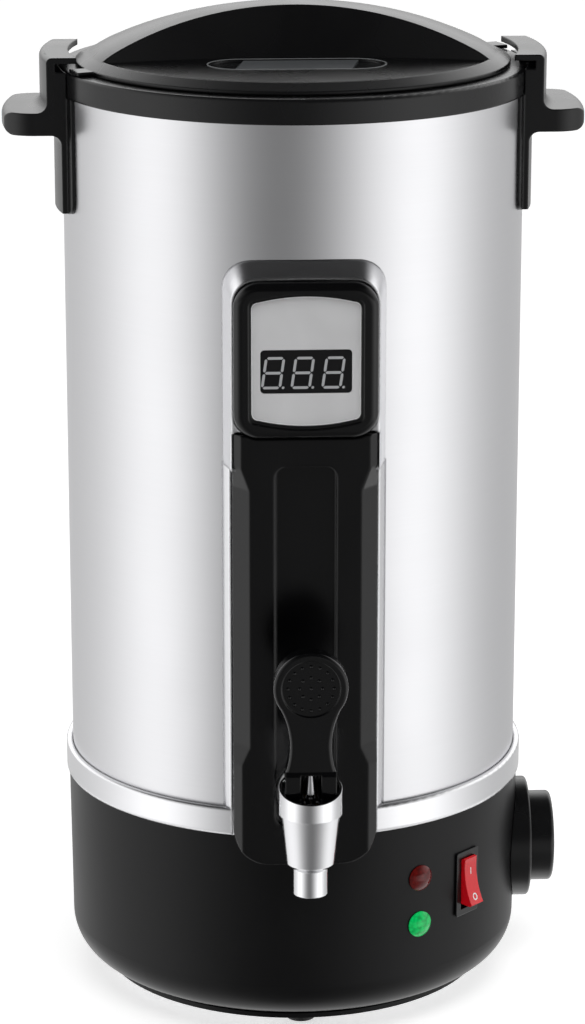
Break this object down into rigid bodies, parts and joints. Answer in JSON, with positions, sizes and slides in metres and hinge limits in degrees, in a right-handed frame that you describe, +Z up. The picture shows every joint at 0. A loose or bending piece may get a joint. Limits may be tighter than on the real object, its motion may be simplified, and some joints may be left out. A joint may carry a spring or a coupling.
{
  "type": "candle wax melter",
  "caption": "Electric wax melting drum: steel tank, locking domed lid with grip bar, side handles, front display column, lever tap, thermostat knob and rocker switch.",
  "frame": {"origin": "centre of the feet on the floor, on the drum's axis", "axes": "+Z up, -Y the front with the tap, +X the knob's side, +Y the cord gland's side"},
  "size_m": [0.262, 0.2859, 0.459],
  "materials": {
    "steel_drum": "brushed",
    "steel_polished": "fine brushed",
    "steel_tank": "satin",
    "steel_fastener": "zinc plated",
    "black_moulding": "fine textured",
    "black_base": "semi-matt",
    "black_gloss": "gloss",
    "chrome_tap": "satin chrome",
    "black_lever": "fine textured",
    "grey_plate": "satin",
    "light_plate": "satin",
    "dark_window": "gloss",
    "digit_grey": "gloss",
    "circuit_green": "solder mask",
    "lens_red": "tinted",
    "lens_green": "tinted",
    "rocker_red": "gloss",
    "silicone": "matt",
    "foot_rubber": "matt",
    "aluminium_plate": "milled",
    "element_sheath": "heat tinted",
    "glass_wool": "felted",
    "brass_bonnet": "turned"
  },
  "bodies": {
    "melter_body": {"outer_shell": "steel_drum", "base_band": "steel_polished", "inner_pot": "steel_tank", "insulation": "glass_wool", "rim_ring": "black_moulding", "handle_right": "black_moulding", "handle_left": "black_moulding", "handle_screws": "steel_fastener", "column_cover": "black_moulding", "column_screws": "steel_fastener", "column_surround": "steel_polished", "display_bezel": "black_gloss", "display_faceplate": "grey_plate", "display_window": "dark_window", "digit_display": "digit_grey", "display_board": "circuit_green", "tap_body": "chrome_tap", "tap_shank": "steel_tank", "escutcheon": "chrome_tap", "shank_washers": "silicone", "shank_nut": "steel_fastener", "tap_bonnet": "brass_bonnet", "stem_spring": "steel_fastener", "lamp_lens_red": "lens_red", "lamp_lens_green": "lens_green", "lamp_holders": "black_base", "switch_body": "black_gloss", "dial_plate": "black_base", "thermostat_body": "black_base", "heat_spreader": "aluminium_plate", "heating_element": "element_sheath", "thermal_cutout": "light_plate", "temperature_probe": "steel_tank", "control_board": "circuit_green", "board_standoffs": "brass_bonnet", "cable_gland": "black_base", "gland_nut": "black_base", "base_housing": "black_base", "base_plate": "steel_tank", "base_screws": "steel_fastener", "rubber_feet": "foot_rubber"},
    "seal_body": {"lid_seal": "silicone"},
    "lid_body": {"lid": "black_moulding", "lid_liner": "steel_tank", "lid_inset_plate": "light_plate", "lid_screws": "steel_fastener"},
    "stem_body": {"tap_stem": "steel_tank", "seat_cup": "silicone"},
    "lever_body": {"tap_lever": "black_lever", "lever_pin": "steel_fastener"},
    "rocker_body": {"switch_rocker": "rocker_red"},
    "knob_body": {"control_knob": "black_base", "knob_shaft": "steel_fastener"}
  },
  "joints": [
    {"name": "lid_lift", "type": "slide", "parent": "melter_body", "child": "seal_body", "axis": [0, 0, 1], "range_m": [0, 0.12]},
    {"name": "lid_turn", "type": "hinge", "parent": "seal_body", "child": "lid_body", "pos_m": [0, 0, 0.434], "axis": [0, 0, 1], "range_deg": [-20.5, 0]},
    {"name": "tap_stem_lift", "type": "slide", "parent": "melter_body", "child": "stem_body", "axis": [0, 0, 1], "range_m": [0, 0.005], "stiffness_N_per_m": 80, "springref_m": -0.005, "deforming": ["stem_spring"]},
    {"name": "tap_lever_tilt", "type": "hinge", "parent": "stem_body", "child": "lever_body", "pos_m": [0, -0.155, 0.1355], "axis": [1, 0, 0], "range_deg": [0, 45]},
    {"name": "switch_rock", "type": "hinge", "parent": "melter_body", "child": "rocker_body", "pos_m": [0.07407, -0.07153, 0.0649], "axis": [0.6947, 0.7193, 0], "range_deg": [0, 22]},
    {"name": "knob_turn", "type": "hinge", "parent": "melter_body", "child": "knob_body", "pos_m": [0.11, 0, 0.0586], "axis": [1, 0, 0], "range_deg": [-270, 0]}
  ],
  "couplings": [
    {"joint": "tap_lever_tilt", "follows": "tap_stem_lift", "rad_per_m": 157.08}
  ]
}
